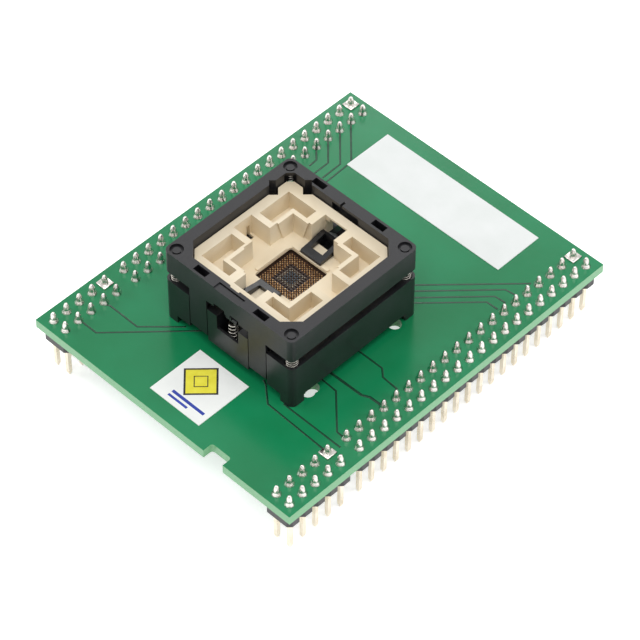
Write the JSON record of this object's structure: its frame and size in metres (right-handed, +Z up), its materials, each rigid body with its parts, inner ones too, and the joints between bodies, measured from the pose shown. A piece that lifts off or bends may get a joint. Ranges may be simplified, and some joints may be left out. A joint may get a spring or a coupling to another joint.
{
  "type": "zif socket",
  "caption": "Open-top zero-insertion-force socket for a ball-grid chip, with a sprung press cover, on a green adapter board with two pairs of pin headers",
  "frame": {"origin": "centre of the board in plan, at the height of the pin tips", "axes": "+Z up out of the socket, +Y towards the end with the title label, +X to the right seen from the notched front edge"},
  "size_m": [0.052, 0.066, 0.0237],
  "materials": {
    "solder_mask": "glossy green solder mask over glass epoxy",
    "label_film": "satin white label",
    "sticker_film": "satin white sticker",
    "header_plastic": "black moulded polyester",
    "tinned_pins": "tin-plated square pins, warm silver",
    "solder": "bright solder",
    "socket_black": "black moulded plastic, fine satin",
    "block_black": "black moulded plastic",
    "contact_alloy": "gold-plated copper alloy",
    "slider_brown": "dark brown moulded plastic",
    "nest_beige": "natural beige moulded plastic, satin",
    "spring_steel": "bright spring wire",
    "latch_black": "black moulded plastic",
    "pin_steel": "ground steel pins"
  },
  "bodies": {
    "adapter": {"board": "solder_mask", "title_label": "label_film", "square_sticker": "sticker_film", "front_left_header": "header_plastic", "front_right_header": "header_plastic", "rear_left_header": "header_plastic", "rear_right_header": "header_plastic", "front_left_pins": "tinned_pins", "front_right_pins": "tinned_pins", "rear_left_pins": "tinned_pins", "rear_right_pins": "tinned_pins", "solder_joints": "solder", "socket_base": "socket_black", "contact_block": "block_black", "contacts": "contact_alloy", "nest": "nest_beige", "cover_springs": "spring_steel", "front_latch_pin": "pin_steel", "rear_latch_pin": "pin_steel", "front_latch_spring": "spring_steel", "rear_latch_spring": "spring_steel"},
    "press_cover": {"cover": "socket_black"},
    "front_latch_body": {"front_latch": "latch_black"},
    "rear_latch_body": {"rear_latch": "latch_black"},
    "slider_body": {"contact_slider": "slider_brown"}
  },
  "joints": [
    {"name": "cover_press", "type": "slide", "parent": "adapter", "child": "press_cover", "axis": [0, 0, -1], "range_m": [0, 0.0015], "stiffness_N_per_m": 800, "deforming": ["cover_springs", "front_latch_spring", "rear_latch_spring"]},
    {"name": "front_latch_swing", "type": "hinge", "parent": "adapter", "child": "front_latch_body", "pos_m": [-0.00024, -0.01596, 0.01735], "axis": [1, 0, 0], "range_deg": [0, 45.1]},
    {"name": "rear_latch_swing", "type": "hinge", "parent": "adapter", "child": "rear_latch_body", "pos_m": [-0.00024, 0.00384, 0.01735], "axis": [-1, 0, 0], "range_deg": [0, 45.1]},
    {"name": "contact_shift", "type": "slide", "parent": "adapter", "child": "slider_body", "axis": [1, 0, 0], "range_m": [0, 0.00008]}
  ],
  "couplings": [
    {"joint": "front_latch_swing", "follows": "cover_press", "rad_per_m": 523.6},
    {"joint": "rear_latch_swing", "follows": "cover_press", "rad_per_m": 523.6},
    {"joint": "contact_shift", "follows": "cover_press", "ratio": 0.0533}
  ]
}
